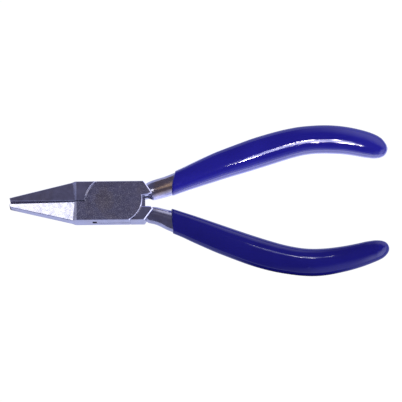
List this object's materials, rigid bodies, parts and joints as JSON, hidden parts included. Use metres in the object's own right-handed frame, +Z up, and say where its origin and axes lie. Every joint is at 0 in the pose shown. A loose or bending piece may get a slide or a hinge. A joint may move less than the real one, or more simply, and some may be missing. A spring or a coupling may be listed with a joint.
{
  "type": "box-joint flat-facet nose jewellery pliers",
  "caption": "Small jewellery pliers with a box joint, slender tapered nose and two dipped plastic handle sleeves, opening on a flush rivet.",
  "frame": {"origin": "on the rivet's axis, in the plane of the joint's lower flat face", "axes": "+X from the joint towards the handles, +Y towards the handle of the box lever, +Z up along the rivet"},
  "size_m": [0.1305, 0.0531, 0.009],
  "materials": {
    "ground_steel": "fine ground and polished bare steel, edges lightly broken",
    "pin_steel": "rivet ground flush with the joint faces",
    "dipped_plastic": "glossy dipped vinyl, deep blue"
  },
  "bodies": {
    "box_half": {"box_lever": "ground_steel", "joint_pin": "pin_steel", "upper_grip": "dipped_plastic"},
    "through_half": {"through_lever": "ground_steel", "lower_grip": "dipped_plastic"}
  },
  "joints": [
    {"name": "jaw_pivot", "type": "hinge", "parent": "box_half", "child": "through_half", "pos_m": [0, 0, 0.0045], "axis": [0, 0, -1], "range_deg": [-1.5, 30]}
  ]
}
